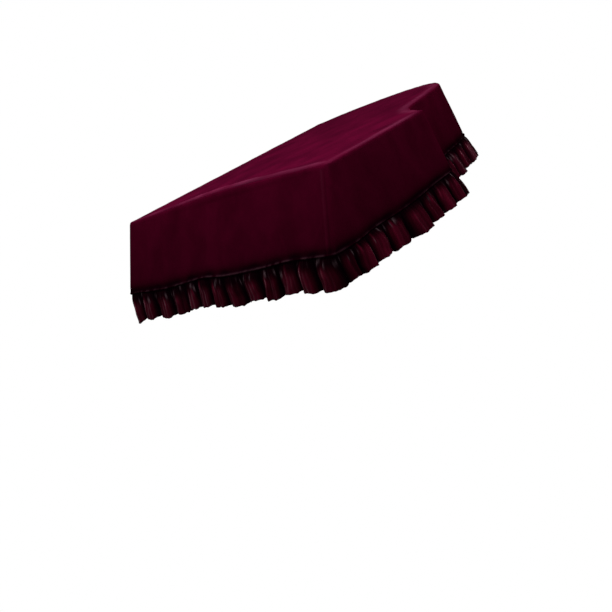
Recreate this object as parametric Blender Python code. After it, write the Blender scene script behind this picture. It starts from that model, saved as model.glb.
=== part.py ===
"""A fitted velvet cover for a small grand piano, hanging empty as it does over the closed lid.

The cover is a flat top panel cut to the lid's outline, five skirt panels that hang from its edge, and a
gathered ruffle under each skirt. +X is the treble side, +Y the tail and +Z up. The origin lies on the
underside of the top panel, where the lid carries it. All sizes are in metres.
"""

import math
import random

import bpy
import numpy as np

# Driving dimensions
LID_WIDTH = 1.50
LID_MIDDLE_Y = 0.70
CLOTH = 0.002
SEAM_GAP = 0.0003
EDGE_ROLL = 0.016
SKIRT_DROP = 0.307
LID_CORNER_SOFTNESS = 0.012
HEM_CORNER_SOFTNESS = 0.028
COLUMN_PITCH = 0.095
PLEAT_PITCH = 0.120
SEAM_OPENING = 0.12
HALF = LID_WIDTH / 2

# The lid's outline, seen from above and measured from its keyboard edge. hem_x and hem_y say how far
# the hem stands out from the lid there. A curve runs on through the rows from cheek_end to bass_tail.
OUTLINE = (
    # name, x, y, hem_x, hem_y
    ("bass_front", -HALF - 0.006, 0.00, -0.028, -0.168),
    ("treble_front", HALF, 0.00, 0.028, -0.168),
    ("cheek_end", HALF, 0.60, 0.024, 0.010),
    ("bend_hollow", 0.48, 0.83, 0.018, 0.020),
    ("bend_middle", 0.38, 1.08, 0.022, 0.006),
    ("tail_treble", 0.27, 1.33, 0.020, 0.014),
    ("tail_round", 0.08, 1.51, 0.010, 0.020),
    ("tail_middle", -0.22, 1.59, 0.000, 0.022),
    ("tail_bass", -0.56, 1.54, -0.010, 0.020),
    ("bass_tail", -HALF, 1.42, -0.020, 0.014),
)

# The panels round the lid, each from one row of the outline to another, with the drop of its ruffle and
# the random seed of its pleats.
PANELS = (
    # name, first row, last row, ruffle drop, seed
    ("front", "bass_front", "treble_front", 0.124, 11),
    ("cheek", "treble_front", "cheek_end", 0.116, 23),
    ("bentside", "cheek_end", "tail_treble", 0.117, 31),
    ("tail", "tail_treble", "bass_tail", 0.119, 47),
    ("bass", "bass_tail", "bass_front", 0.122, 53),
)

# Soft upright folds in the skirts: where along the panel, their half width, and how far out at the hem.
SKIRT_FOLDS = (
    # panel, place along it, half width, out at the hem
    ("front", 0.12, 0.060, 0.010),
    ("front", 0.30, 0.110, -0.009),
    ("front", 0.55, 0.130, 0.008),
    ("front", 0.80, 0.090, -0.007),
    ("cheek", 0.14, 0.055, 0.012),
    ("cheek", 0.32, 0.070, -0.010),
    ("cheek", 0.62, 0.080, 0.009),
    ("bentside", 0.30, 0.100, 0.010),
    ("bentside", 0.65, 0.090, -0.008),
    ("tail", 0.25, 0.110, 0.009),
    ("tail", 0.60, 0.120, -0.008),
    ("bass", 0.20, 0.140, 0.009),
    ("bass", 0.50, 0.130, -0.010),
    ("bass", 0.78, 0.120, 0.009),
)

# The hem seam isn't level: how far it is lifted near a place along a panel.
HEM_LIFTS = (
    # panel, place along it, half width, lift
    ("front", 0.00, 0.090, -0.006),
    ("front", 0.22, 0.150, -0.010),
    ("front", 0.44, 0.110, 0.009),
    ("front", 0.84, 0.160, 0.009),
    ("cheek", 0.30, 0.120, 0.003),
    ("cheek", 1.00, 0.240, 0.026),
    ("bentside", 0.00, 0.240, 0.026),
    ("bentside", 0.60, 0.300, 0.018),
    ("bentside", 1.00, 0.200, 0.014),
    ("tail", 0.00, 0.200, 0.014),
    ("tail", 0.55, 0.250, 0.006),
    ("bass", 0.45, 0.300, 0.006),
    ("bass", 1.00, 0.090, -0.006),
)

# Where two ruffles meet: how far they are drawn in at the bottom, less than 0 where they stand out, and
# how much lower they hang there.
RUFFLE_CORNERS = (
    # name, drawn in, lower
    ("bass_front", -0.002, 0.024),
    ("treble_front", 0.016, 0.000),
    ("cheek_end", -0.014, 0.004),
    ("tail_treble", 0.000, -0.004),
    ("bass_tail", 0.008, 0.006),
)
CORNER_HALF_WIDTH = 0.070

# Widths of the pleats along two of the ruffles, from the panel's first corner on. The pleats of the other
# ruffles are about PLEAT_PITCH wide.
PLEAT_WIDTHS = {
    "front": (0.115, 0.120, 0.130, 0.135, 0.102, 0.112, 0.114, 0.128, 0.121, 0.113, 0.128, 0.111, 0.133),
    "cheek": (0.070, 0.092, 0.114, 0.111, 0.130, 0.093, 0.093, 0.075),
}

# A slack swell of the top panel along its keyboard edge.
SWELL_X, SWELL_Y = 0.06, 0.01
SWELL_HALF_LENGTH, SWELL_HALF_WIDTH, SWELL_HEIGHT = 0.50, 0.090, 0.027

# How the keyboard-side skirt sinks in between the lid and the hem.
FRONT_SAG = 0.010

# The cloth is pulled tighter over the lid's corners: what share of the roll inwards goes there.
CORNER_TIGHTNESS, CORNER_TIGHT_HALF_WIDTH = 0.5, 0.022

# Rows down the cloth: across the top, over the rolled edge, and down the skirt.
TOP_RINGS = (0.70, 0.84, 0.94)
EDGE_STEPS = (0.0, 0.25, 0.5)
SKIRT_EDGE_STEPS = (0.5, 1.0)
SKIRT_ROWS = (0.30, 0.65, 1.0)
RUFFLE_ROWS = (0.0, 0.18, 0.50, 1.0)
STEPS_PER_PLEAT = 10
CORNER_STEPS = (0.010, 0.024, 0.050)


def clear_scene():
    for item in list(bpy.data.objects):
        bpy.data.objects.remove(item, do_unlink=True)


def velvet(name, colour, roughness):
    """The cloth's dark wine pile."""
    material = bpy.data.materials.new(name)
    material.use_nodes = True
    shader = material.node_tree.nodes["Principled BSDF"]
    shader.inputs["Base Color"].default_value = (*colour, 1.0)
    shader.inputs["Roughness"].default_value = roughness
    shader.inputs["Metallic"].default_value = 0.0
    shader.inputs["Sheen Weight"].default_value = 0.6
    return material


def bump(distance, half_width):
    """A smooth hump, 1 at its middle and near 0 past twice its half width."""
    return np.exp(-((distance / half_width) ** 2))


def curve_through(points, before, after, steps):
    """A Catmull-Rom curve through the points, with the neighbours before and after giving its ends."""
    knots = np.array([before, *points, after])
    share = np.linspace(0.0, 1.0, steps, endpoint=False)[:, None]
    runs = []
    for a, b, c, d in zip(knots, knots[1:], knots[2:], knots[3:]):
        runs.append(
            0.5
            * (
                2 * b
                + (c - a) * share
                + (2 * a - 5 * b + 4 * c - d) * share**2
                + (3 * b - 3 * c + d - a) * share**3
            )
        )
    return np.concatenate(runs)


def level_outline(at_hem, softness, steps=260):
    """The closed outline at the lid or at the hem, with rounded corners, and the index of each row."""
    rows = {}
    for name, x, y, hem_x, hem_y in OUTLINE:
        rows[name] = np.array([x + at_hem * hem_x, y - LID_MIDDLE_Y + at_hem * hem_y])
    names = list(rows)
    points = list(rows.values())
    share = np.linspace(0.0, 1.0, steps, endpoint=False)[:, None]
    front = points[0] + (points[1] - points[0]) * share
    cheek = points[1] + (points[2] - points[1]) * share
    curved = points[2:]
    start = 2 * curved[0] - curved[1]
    end = 2 * curved[-1] - curved[-2]
    round_tail = curve_through(curved, start, end, steps)
    bass = points[-1] + (points[0] - points[-1]) * share
    loop = np.concatenate([front, cheek, round_tail, bass])
    first = {name: index * steps for index, name in enumerate(names)}
    return rounded(loop, softness), first


def rounded(loop, softness):
    """The loop averaged over a short length, which rounds its corners and leaves its runs straight."""
    following = np.roll(loop, -1, axis=0)
    lengths = np.linalg.norm(following - loop, axis=1)
    place = np.concatenate([[0.0], np.cumsum(lengths)])
    total = place[-1]
    offsets = np.linspace(-3.0, 3.0, 41)
    weights = np.exp(-0.5 * offsets**2)
    weights /= weights.sum()
    closed = np.vstack([loop, loop[:1]])
    result = np.zeros_like(loop)
    for offset, weight in zip(offsets, weights):
        at = (place[:-1] + offset * softness) % total
        for axis in (0, 1):
            result[:, axis] += weight * np.interp(at, place, closed[:, axis])
    return result


def outward_normals(loop):
    """Level normals of a loop that runs anticlockwise seen from above."""
    along = np.roll(loop, -1, axis=0) - np.roll(loop, 1, axis=0)
    along /= np.linalg.norm(along, axis=1)[:, None]
    return np.stack([along[:, 1], -along[:, 0]], axis=1)


LID, ROW_AT = level_outline(0.0, LID_CORNER_SOFTNESS)
HEM, _ = level_outline(1.0, HEM_CORNER_SOFTNESS)
LID_NORMALS = outward_normals(LID)
HEM_NORMALS = outward_normals(HEM)


def panel_range(first, last):
    """The indices along the loop from one row of the outline to another."""
    start = ROW_AT[first]
    end = ROW_AT[last]
    if end <= start:
        end += len(LID)
    return start, end


def run_lengths(loop, start, end):
    """Length along the loop from start to each index up to end."""
    indices = np.arange(start, end + 1) % len(loop)
    points = loop[indices]
    steps = np.linalg.norm(np.diff(points, axis=0), axis=1)
    return np.concatenate([[0.0], np.cumsum(steps)])


def sample(loop, start, end, shares):
    """Points of the loop at shares of the length between two indices."""
    lengths = run_lengths(loop, start, end)
    indices = np.arange(start, end + 1) % len(loop)
    at = np.asarray(shares) * lengths[-1]
    return np.stack([np.interp(at, lengths, loop[indices, axis]) for axis in (0, 1)], axis=1)


def sample_normals(normals, loop, start, end, shares):
    lengths = run_lengths(loop, start, end)
    indices = np.arange(start, end + 1) % len(loop)
    at = np.asarray(shares) * lengths[-1]
    found = np.stack([np.interp(at, lengths, normals[indices, axis]) for axis in (0, 1)], axis=1)
    return found / np.linalg.norm(found, axis=1)[:, None]


def column_shares(length):
    """Places along a panel as shares of its length, closer together at its corners."""
    inner = length - 2 * CORNER_STEPS[-1]
    count = max(2, round(inner / COLUMN_PITCH))
    middle = [CORNER_STEPS[-1] + inner * step / count for step in range(count + 1)]
    start = [0.0, *CORNER_STEPS[:-1]]
    end = [length - step for step in reversed(start)]
    return np.array([*start, *middle, *end]) / length


def hem_lift(panel, shares, length):
    lift = np.zeros(len(shares))
    for name, place, half_width, height in HEM_LIFTS:
        if name == panel:
            lift += height * bump((shares - place) * length, half_width)
    return lift


def skirt_fold(panel, shares, length):
    out = np.zeros(len(shares))
    for name, place, half_width, height in SKIRT_FOLDS:
        if name == panel:
            out += height * bump((shares - place) * length, half_width)
    return out


def swell(points):
    """How far the slack cloth along the keyboard edge stands up at each point of the plan."""
    along = bump(points[..., 0] - SWELL_X, SWELL_HALF_LENGTH)
    across = bump(points[..., 1] + LID_MIDDLE_Y - SWELL_Y, SWELL_HALF_WIDTH)
    ends = np.clip((HALF - np.abs(points[..., 0])) / 0.12, 0.0, 1.0)
    return SWELL_HEIGHT * along * across * ends


def raised(points, height):
    return np.concatenate([points, height[..., None]], axis=-1)


def roll_inwards(shares, length):
    """How far in from the lid's edge the roll starts, which is less near a panel's two corners."""
    from_corner = np.minimum(shares, 1.0 - shares) * length
    return EDGE_ROLL * (1.0 - CORNER_TIGHTNESS * bump(from_corner, CORNER_TIGHT_HALF_WIDTH))


def cover_columns():
    """The lid edge, the hem and the folds at every column round the cover, panel after panel."""
    columns = {"share": [], "lid": [], "hem": [], "normal": [], "hem_normal": []}
    columns |= {"roll_in": [], "hem_z": [], "fold": [], "sag": []}
    spans = {}
    count = 0
    for panel, first, last, *_ in PANELS:
        start, end = panel_range(first, last)
        length = run_lengths(LID, start, end)[-1]
        shares = column_shares(length)[:-1]
        columns["share"].append(shares)
        columns["lid"].append(sample(LID, start, end, shares))
        columns["hem"].append(sample(HEM, start, end, shares))
        columns["normal"].append(sample_normals(LID_NORMALS, LID, start, end, shares))
        columns["hem_normal"].append(sample_normals(HEM_NORMALS, HEM, start, end, shares))
        columns["roll_in"].append(roll_inwards(shares, length))
        columns["hem_z"].append(hem_lift(panel, shares, length) - SKIRT_DROP)
        columns["fold"].append(skirt_fold(panel, shares, length))
        sag = FRONT_SAG * np.sin(math.pi * shares) if panel == "front" else np.zeros(len(shares))
        columns["sag"].append(sag)
        spans[panel] = (count, count + len(shares))
        count += len(shares)
    return {key: np.concatenate(value) for key, value in columns.items()}, spans


def edge_row(columns, step):
    """One row over the rolled edge: step 0 is on the flat top and 1 at the top of the skirt."""
    lid = columns["lid"]
    flat = lid - columns["roll_in"][:, None] * columns["normal"]
    down = lid + (columns["hem"] - lid) * EDGE_ROLL / SKIRT_DROP
    plan = (1 - step) ** 2 * flat + 2 * step * (1 - step) * lid + step**2 * down
    height = CLOTH - EDGE_ROLL * step**2 + swell(lid) * (1 - step**2)
    return raised(plan, height)


def skirt_row(columns, share):
    """One row down the skirt, from the rolled edge to the hem."""
    top = edge_row(columns, 1.0)
    hem = raised(columns["hem"], columns["hem_z"])
    out = columns["fold"] * share - columns["sag"] * math.sin(math.pi * share)
    shift = raised(columns["normal"] * out[:, None], np.zeros(len(out)))
    return top + (hem - top) * share + shift


def top_ring(columns, share):
    """One ring of the flat top, drawn in towards the middle of the lid."""
    edge = edge_row(columns, 0.0)
    plan = edge[:, :2] * share
    return raised(plan, CLOTH + swell(plan))


def grid_normals(grid):
    """Outward normals of a grid of columns round the cover and rows down it."""
    round_cover = np.roll(grid, -1, axis=0) - np.roll(grid, 1, axis=0)
    down = np.gradient(grid, axis=1)
    normals = np.cross(down, round_cover)
    return normals / np.linalg.norm(normals, axis=2)[:, :, None]


def levelled(normals):
    """The same normals with no rise, so that the cloth's cut edge lies level."""
    level = normals * np.array([1.0, 1.0, 0.0])
    return level / np.linalg.norm(level, axis=-1)[..., None]


def moved(block, row, towards):
    """Moves one end row or column of a block half a seam gap towards its neighbour."""
    step = block[towards] - block[row]
    step /= np.linalg.norm(step, axis=1)[:, None]
    block[row] += step * SEAM_GAP / 2


def open_seams(outer, inner, sides):
    """Draws the named sides of a panel back from their seams."""
    for block in (outer, inner):
        rows = block.transpose(1, 0, 2)
        if "start" in sides:
            moved(block, 0, 1)
        if "end" in sides:
            moved(block, -1, -2)
        if "top" in sides:
            moved(rows, 0, 1)
        if "bottom" in sides:
            moved(rows, -1, -2)


def add_mesh(name, vertices, faces, material):
    mesh = bpy.data.meshes.new(name)
    mesh.from_pydata([tuple(point) for point in vertices], [], faces)
    mesh.materials.append(material)
    mesh.validate()
    mesh.shade_smooth()
    mesh.set_sharp_from_angle(angle=math.radians(60))
    item = bpy.data.objects.new(name, mesh)
    bpy.context.scene.collection.objects.link(item)
    return item


def both_sides(quad, back):
    """The face and the back of one square of cloth, both split along the same diagonal."""
    one, two, three, four = quad
    face = [[one, two, three], [one, three, four]]
    return face + [[back + corner for corner in reversed(triangle)] for triangle in face]


def strip_solid(name, outer, inner, material):
    """A cloth panel: its face, its back and the four edges between them."""
    columns, rows = outer.shape[:2]
    back = columns * rows
    faces = []

    def at(column, row):
        return column * rows + row

    for column in range(columns - 1):
        for row in range(rows - 1):
            quad = [at(column, row), at(column, row + 1), at(column + 1, row + 1), at(column + 1, row)]
            faces.extend(both_sides(quad, back))
    rim = [at(column, 0) for column in range(columns)]
    rim += [at(columns - 1, row) for row in range(1, rows)]
    rim += [at(column, rows - 1) for column in range(columns - 2, -1, -1)]
    rim += [at(0, row) for row in range(rows - 2, 0, -1)]
    for one, two in zip(rim, rim[1:] + rim[:1]):
        faces.append([one, two, back + two, back + one])
    vertices = np.concatenate([outer.reshape(-1, 3), inner.reshape(-1, 3)])
    return add_mesh(name, vertices, faces, material)


def top_solid(name, outer, inner, material):
    """The top panel: rings of face and back round two middles, closed along the edge."""
    columns, rows = outer.shape[:2]
    back = columns * rows
    faces = []
    for column in range(columns):
        beside = (column + 1) % columns
        for row in range(rows - 1):
            quad = [
                column * rows + row,
                column * rows + row + 1,
                beside * rows + row + 1,
                beside * rows + row,
            ]
            faces.extend(both_sides(quad, back))
        edge = [column * rows + rows - 1, beside * rows + rows - 1]
        faces.append([edge[1], edge[0], back + edge[0], back + edge[1]])
    middle = [column * rows for column in range(columns)]
    faces.append(middle)
    faces.append([back + corner for corner in reversed(middle)])
    vertices = np.concatenate([outer.reshape(-1, 3), inner.reshape(-1, 3)])
    return add_mesh(name, vertices, faces, material)


def build_top(columns, material):
    rings = [top_ring(columns, share) for share in TOP_RINGS]
    edges = [edge_row(columns, step) for step in EDGE_STEPS]
    beyond = edge_row(columns, 1.0)
    grid = np.stack([*rings, *edges, beyond], axis=1)
    normals = grid_normals(grid)
    outer = grid[:, :-1].copy()
    inner = outer - CLOTH * normals[:, :-1]
    open_seams(outer, inner, ("bottom",))
    return top_solid("top_panel", outer, inner, material)


def build_skirts(columns, spans, material):
    before = edge_row(columns, 0.0)
    edges = [edge_row(columns, step) for step in SKIRT_EDGE_STEPS]
    rows = [skirt_row(columns, share) for share in SKIRT_ROWS]
    grid = np.stack([before, *edges, *rows], axis=1)
    normals = grid_normals(grid)
    normals[:, -1] = levelled(normals[:, -1])
    outer = grid[:, 1:]
    inner = outer - CLOTH * normals[:, 1:]
    for panel, (start, end) in spans.items():
        picked = np.arange(start, end + 1) % len(outer)
        face = outer[picked].copy()
        back = inner[picked].copy()
        open_seams(face, back, ("start", "end", "top", "bottom"))
        strip_solid(f"{panel}_skirt", face, back, material)


def pleat_places(panel, length, seed):
    """The shares along a ruffle and, for each, how far out, how long and how swayed its pleat is. A pleat
    is a broad lobe with a shallow cleft in it, and a sharp valley on either side."""
    chance = random.Random(seed)
    widths = PLEAT_WIDTHS.get(panel)
    if widths is None:
        widths = [PLEAT_PITCH * chance.uniform(0.80, 1.20) for _ in range(round(length / PLEAT_PITCH))]
    ends = np.concatenate([[0.0], np.cumsum(widths) / np.sum(widths)])
    shares, out, longer, sway = [], [], [], []
    for pleat, width in enumerate(widths):
        depth = chance.uniform(0.024, 0.036) * min(1.0, width / 0.110)
        cleft = chance.uniform(0.05, 0.40)
        cleft_at = chance.uniform(0.42, 0.58)
        extra = chance.uniform(-0.008, 0.010)
        lean = chance.uniform(-0.010, 0.010)
        for step in range(STEPS_PER_PLEAT):
            phase = step / STEPS_PER_PLEAT
            lobe = math.sin(math.pi * phase) ** 0.7
            shares.append(ends[pleat] + (ends[pleat + 1] - ends[pleat]) * phase)
            out.append(depth * lobe * (1.0 - cleft * bump(phase - cleft_at, 0.13)))
            longer.append(extra * lobe)
            sway.append(lean * lobe)
    shares.append(1.0)
    for values in (out, longer, sway):
        values.append(0.0)
    return np.array(shares), np.array(out), np.array(longer), np.array(sway)


def build_ruffle(columns, span, row, material):
    """One gathered strip: small pleats under the hem seam that open and stand out towards the floor."""
    panel, first, last, ruffle_drop, seed = row
    picked = np.arange(span[0], span[1] + 1) % len(columns["lid"])
    places = np.append(columns["share"][picked[:-1]], 1.0)
    hem = skirt_row(columns, 1.0)[picked]
    facing_out = raised(columns["hem_normal"][picked], np.zeros(len(picked)))
    length = np.linalg.norm(np.diff(hem, axis=0), axis=1).sum()
    shares, out, longer, sway = pleat_places(panel, length, seed)
    seam = np.stack([np.interp(shares, places, hem[:, axis]) for axis in range(3)], axis=1)
    normals = np.stack([np.interp(shares, places, facing_out[:, axis]) for axis in range(3)], axis=1)
    normals = levelled(normals)
    along = np.stack([-normals[:, 1], normals[:, 0], normals[:, 2]], axis=1)
    drop = ruffle_drop + longer
    tuck = np.zeros(len(shares))
    for name, drawn_in, lower in RUFFLE_CORNERS:
        for corner, place in ((first, 0.0), (last, 1.0)):
            if name == corner:
                near = bump((shares - place) * length, CORNER_HALF_WIDTH)
                tuck += drawn_in * near
                drop = drop + lower * near
    rows = []
    for share in RUFFLE_ROWS:
        opening = SEAM_OPENING + (1.0 - SEAM_OPENING) * share**0.8
        level = seam + normals * (out * opening - tuck * share)[:, None]
        level += along * (sway * share)[:, None]
        level[:, 2] -= SEAM_GAP / 2 + drop * share
        rows.append(level)
    outer = np.stack(rows, axis=1)
    facing = np.cross(np.gradient(outer, axis=1), np.gradient(outer, axis=0))
    facing /= np.linalg.norm(facing, axis=2)[:, :, None]
    facing[0] = normals[0]
    facing[-1] = normals[-1]
    facing[:, 0] = levelled(facing[:, 0])
    inner = outer - CLOTH * facing
    open_seams(outer, inner, ("start", "end"))
    return strip_solid(f"{panel}_ruffle", outer, inner, material)


clear_scene()
panel_velvet = velvet("panel_velvet", (0.040, 0.0014, 0.0075), 0.78)
ruffle_velvet = velvet("ruffle_velvet", (0.022, 0.0009, 0.0045), 0.80)
all_columns, panel_spans = cover_columns()
build_top(all_columns, panel_velvet)
build_skirts(all_columns, panel_spans, panel_velvet)
for panel_row in PANELS:
    build_ruffle(all_columns, panel_spans[panel_row[0]], panel_row, ruffle_velvet)
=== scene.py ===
"""A fitted wine-red velvet cover for a small grand piano, as it hangs over the closed lid.

Sections, in the order the cover is made: the top panel, the five skirt panels, the gathered ruffles,
then the floor, the lights and the camera. All sizes are in metres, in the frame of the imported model.
"""

import math
import random

import bpy
import numpy as np
from mathutils import Matrix, Vector, noise


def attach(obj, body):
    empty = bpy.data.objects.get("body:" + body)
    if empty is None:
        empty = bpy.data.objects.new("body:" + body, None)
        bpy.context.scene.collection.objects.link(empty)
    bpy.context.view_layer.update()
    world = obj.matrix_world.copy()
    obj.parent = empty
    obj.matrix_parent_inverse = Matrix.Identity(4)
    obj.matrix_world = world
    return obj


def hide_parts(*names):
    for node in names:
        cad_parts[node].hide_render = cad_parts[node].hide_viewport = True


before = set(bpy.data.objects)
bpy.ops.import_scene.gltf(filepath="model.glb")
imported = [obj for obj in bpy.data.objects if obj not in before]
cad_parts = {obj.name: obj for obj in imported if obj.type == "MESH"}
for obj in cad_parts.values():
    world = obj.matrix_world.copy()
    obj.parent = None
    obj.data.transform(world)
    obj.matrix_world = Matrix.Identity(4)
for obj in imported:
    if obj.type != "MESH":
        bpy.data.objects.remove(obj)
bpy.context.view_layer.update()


# The top panel: one piece of cotton velvet cut to the outline of the closed lid. It lies flat on the
# lid, stands up a little in a slack swell along the keyboard edge, and rolls over the lid's edge to the
# seam that joins it to the skirts.
LID_MIDDLE_Y = 0.70
HALF_WIDTH = 0.75
CLOTH = 0.002
EDGE_ROLL = 0.016
SKIRT_DROP = 0.307
LID_SOFTNESS = 0.012
HEM_SOFTNESS = 0.028
OUTLINE = (
    # name, x, y from the keyboard edge, and how far the hem stands out: hem_x, hem_y
    ("bass_front", -HALF_WIDTH - 0.006, 0.00, -0.028, -0.168),
    ("treble_front", HALF_WIDTH, 0.00, 0.028, -0.168),
    ("cheek_end", HALF_WIDTH, 0.60, 0.024, 0.010),
    ("bend_hollow", 0.48, 0.83, 0.018, 0.020),
    ("bend_middle", 0.38, 1.08, 0.022, 0.006),
    ("tail_treble", 0.27, 1.33, 0.020, 0.014),
    ("tail_round", 0.08, 1.51, 0.010, 0.020),
    ("tail_middle", -0.22, 1.59, 0.000, 0.022),
    ("tail_bass", -0.56, 1.54, -0.010, 0.020),
    ("bass_tail", -HALF_WIDTH, 1.42, -0.020, 0.014),
)
CURVE_STEPS = 600
LENGTH_STEPS = 400
BLUR_REACH, BLUR_STEPS = 3.0, 41


def curve_through(points):
    """A Catmull-Rom curve through the points, run on straight past both ends."""
    knots = np.array([2 * points[0] - points[1], *points, 2 * points[-1] - points[-2]])
    share = np.linspace(0.0, 1.0, CURVE_STEPS, endpoint=False)[:, None]
    runs = []
    for a, b, c, d in zip(knots, knots[1:], knots[2:], knots[3:]):
        cubic = 2 * b + (c - a) * share + (2 * a - 5 * b + 4 * c - d) * share**2
        runs.append(0.5 * (cubic + (3 * b - 3 * c + d - a) * share**3))
    return np.concatenate(runs)


def level_outline(at_hem, softness):
    """The closed outline at the lid's edge or at the hem, its corners rounded by averaging."""
    points = [
        np.array([x + at_hem * hem_x, y - LID_MIDDLE_Y + at_hem * hem_y])
        for _, x, y, hem_x, hem_y in OUTLINE
    ]
    share = np.linspace(0.0, 1.0, CURVE_STEPS, endpoint=False)[:, None]
    front = points[0] + (points[1] - points[0]) * share
    cheek = points[1] + (points[2] - points[1]) * share
    bass = points[-1] + (points[0] - points[-1]) * share
    loop = np.concatenate([front, cheek, curve_through(points[2:]), bass])
    steps = np.linalg.norm(np.roll(loop, -1, axis=0) - loop, axis=1)
    place = np.concatenate([[0.0], np.cumsum(steps)])
    closed = np.vstack([loop, loop[:1]])
    offsets = np.linspace(-BLUR_REACH, BLUR_REACH, BLUR_STEPS)
    weights = np.exp(-0.5 * offsets**2)
    result = np.zeros_like(loop)
    for offset, weight in zip(offsets, weights / weights.sum()):
        at = (place[:-1] + offset * softness) % place[-1]
        for axis in (0, 1):
            result[:, axis] += weight * np.interp(at, place, closed[:, axis])
    return result


def outward(loop):
    """Level unit vectors that point out of a loop that runs anticlockwise."""
    ahead = np.roll(loop, -1, axis=0) - loop
    behind = loop - np.roll(loop, 1, axis=0)
    ahead_length = np.linalg.norm(ahead, axis=1)[:, None]
    behind_length = np.linalg.norm(behind, axis=1)[:, None]
    along = ahead * behind_length / ahead_length + behind * ahead_length / behind_length
    along /= np.linalg.norm(along, axis=1)[:, None]
    return np.stack([along[:, 1], -along[:, 0]], axis=1)


LID = level_outline(0.0, LID_SOFTNESS)
HEM = level_outline(1.0, HEM_SOFTNESS)
LID_OUT = outward(LID)
HEM_OUT = outward(HEM)
ROW_AT = {row[0]: index * CURVE_STEPS for index, row in enumerate(OUTLINE)}


def run(loop, values, first, last, shares):
    """Values along the loop at shares of its length between two rows of the outline."""
    start = ROW_AT[first]
    end = ROW_AT[last]
    if end <= start:
        end += len(loop)
    index = np.arange(start, end + 1) % len(loop)
    steps = np.linalg.norm(np.diff(loop[index], axis=0), axis=1)
    place = np.concatenate([[0.0], np.cumsum(steps)])
    at = np.asarray(shares) * place[-1]
    return np.stack([np.interp(at, place, values[index, axis]) for axis in (0, 1)], axis=1)


def run_length(loop, first, last):
    """The length of the loop between two rows of the outline."""
    points = run(loop, loop, first, last, np.linspace(0.0, 1.0, LENGTH_STEPS))
    return np.linalg.norm(np.diff(points, axis=0), axis=1).sum()


def bump(distance, half_width):
    """A smooth hump, 1 at its middle."""
    return np.exp(-((distance / half_width) ** 2))


def raised(plan, height):
    """Level points put at a height, as points in space."""
    return np.concatenate([plan, np.asarray(height)[..., None]], axis=-1)


NOISE_STRIDE = 7.31


def crumple(points, size, seed):
    """Smooth noise of about the given size at each point, between -1 and 1. Each seed reads it elsewhere."""
    offset = seed * NOISE_STRIDE
    flat = points.reshape(-1, 3) / size + offset
    values = [noise.noise(tuple(point)) for point in flat]
    return np.array(values).reshape(points.shape[:-1])


SWELL_X, SWELL_Y = 0.06, 0.01
SWELL_HALF_LENGTH, SWELL_HALF_WIDTH, SWELL_HEIGHT = 0.50, 0.090, 0.027
SWELL_END = 0.12


def swell(plan):
    """How far the slack cloth stands up off the lid along the keyboard edge, down to nothing at its ends."""
    along = bump(plan[..., 0] - SWELL_X, SWELL_HALF_LENGTH)
    across = bump(plan[..., 1] + LID_MIDDLE_Y - SWELL_Y, SWELL_HALF_WIDTH)
    ends = np.clip((HALF_WIDTH - np.abs(plan[..., 0])) / SWELL_END, 0.0, 1.0)
    return SWELL_HEIGHT * along * across * ends


ROLL_IN, SWELL_ROLL = 0.022, 0.6
ROLL_UNEVEN, ROLL_UNEVEN_SIZE = 0.45, 0.045
CORNER_TIGHTNESS, CORNER_TIGHT_HALF_WIDTH = 0.65, 0.022


def rolled_edge(lid, hem, normal, from_corner, step):
    """A row over the lid's edge: step 0 on the flat top, 0.5 at the seam, 1 at the top of the skirt. The
    cloth rolls over more broadly where it swells, and is pulled tighter over the lid's corners."""
    tight = 1.0 - CORNER_TIGHTNESS * bump(from_corner, CORNER_TIGHT_HALF_WIDTH)
    level_lid = raised(lid, np.zeros(len(lid)))
    uneven = 1.0 + ROLL_UNEVEN * crumple(level_lid, ROLL_UNEVEN_SIZE, seed=4)
    roll_in = (ROLL_IN * uneven + SWELL_ROLL * swell(lid)) * tight
    flat = lid - roll_in[:, None] * normal
    down = lid + (hem - lid) * EDGE_ROLL / SKIRT_DROP
    plan = (1 - step) ** 2 * flat + 2 * step * (1 - step) * lid + step**2 * down
    return raised(plan, CLOTH - EDGE_ROLL * step**2 + swell(lid) * (1 - step**2))


def srgb(code):
    """An sRGB hex colour as linear values."""
    parts = [int(code[i : i + 2], 16) / 255 for i in (1, 3, 5)]
    return [p / 12.92 if p <= 0.04045 else ((p + 0.055) / 1.055) ** 2.4 for p in parts] + [1.0]


def add_node(owner, kind, settings=None, links=None):
    """Adds a node to a material or world, sets its values and links its inputs to other nodes' outputs."""
    tree = owner.node_tree
    node = tree.nodes.new(kind)
    for key, value in (settings or {}).items():
        if isinstance(key, str) and hasattr(node, key):
            setattr(node, key, value)
        else:
            node.inputs[key].default_value = value
    for key, output in (links or {}).items():
        tree.links.new(output, node.inputs[key])
    return node


PATCH_SIZE, PATCH_LOW, PATCH_HIGH = 0.110, 0.35, 0.68
TUFT_PITCH, TUFT_SPECKLE, PILE_RELIEF = 0.002, 0.12, 0.0006


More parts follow.
